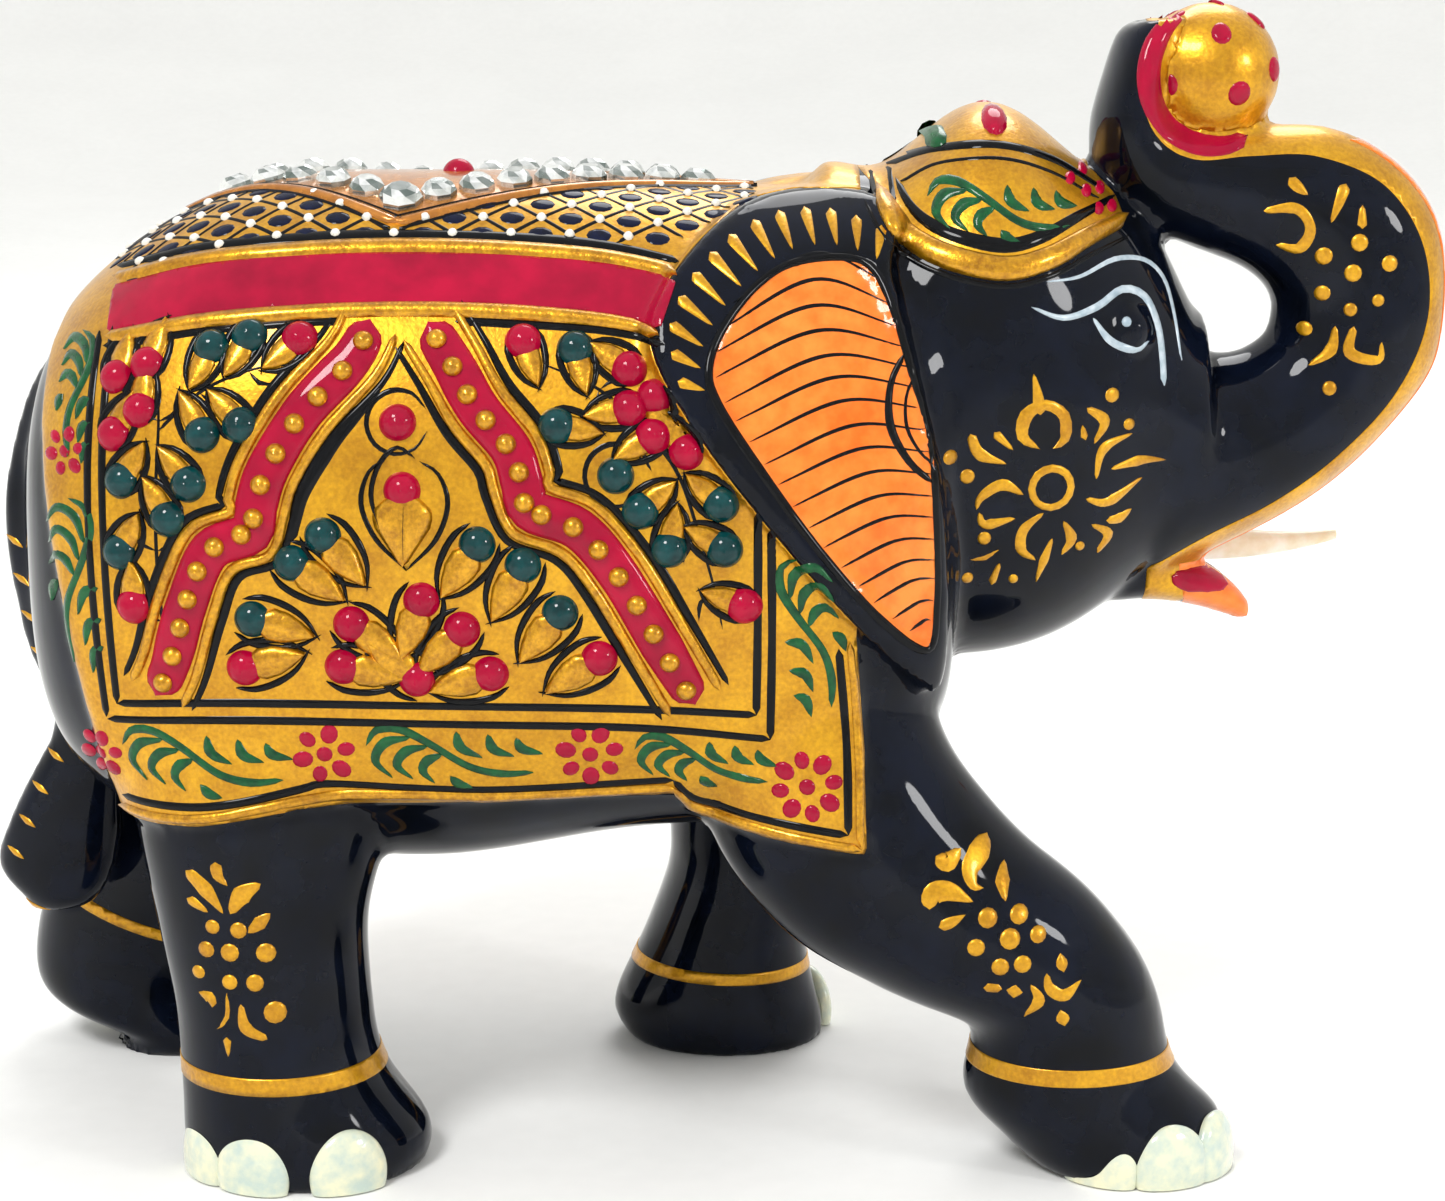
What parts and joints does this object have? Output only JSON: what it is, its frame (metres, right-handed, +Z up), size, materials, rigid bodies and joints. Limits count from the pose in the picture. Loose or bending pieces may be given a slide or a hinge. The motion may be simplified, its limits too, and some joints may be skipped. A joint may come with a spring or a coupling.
{
  "type": "carved wooden elephant figurine",
  "caption": "Walking elephant figurine carved from one block of wood, trunk raised round a ball, with a painted saddle cloth in low relief and glued crystals.",
  "frame": {"origin": "bottom centre of the figure's bounding box, on the surface that it stands on", "axes": "+X towards the head, -Y the elephant's right side, +Z up"},
  "size_m": [0.1452, 0.0592, 0.1105],
  "materials": {
    "lacquered_wood": "gloss",
    "ivory_resin": "gloss",
    "crystal": "gloss",
    "crimson_enamel": "gloss",
    "teal_enamel": "gloss",
    "gold_relief": "metallic",
    "nail_enamel": "gloss"
  },
  "bodies": {
    "root": {"band_piping_left": "gold_relief", "band_piping_right": "gold_relief", "body": "lacquered_wood", "crystals_large": "crystal", "crystals_small": "crystal", "green_drops_left": "teal_enamel", "green_drops_right": "teal_enamel", "medallion_drop": "crimson_enamel", "petals_left": "gold_relief", "petals_right": "gold_relief", "red_drops_left": "crimson_enamel", "red_drops_right": "crimson_enamel", "ribbon_beads_left": "gold_relief", "ribbon_beads_right": "gold_relief", "ribbon_front_left": "crimson_enamel", "ribbon_front_right": "crimson_enamel", "ribbon_piping_left": "gold_relief", "ribbon_piping_right": "gold_relief", "ribbon_rear_left": "crimson_enamel", "ribbon_rear_right": "crimson_enamel", "toenails": "nail_enamel", "tusk_left": "ivory_resin"}
  },
  "joints": []
}
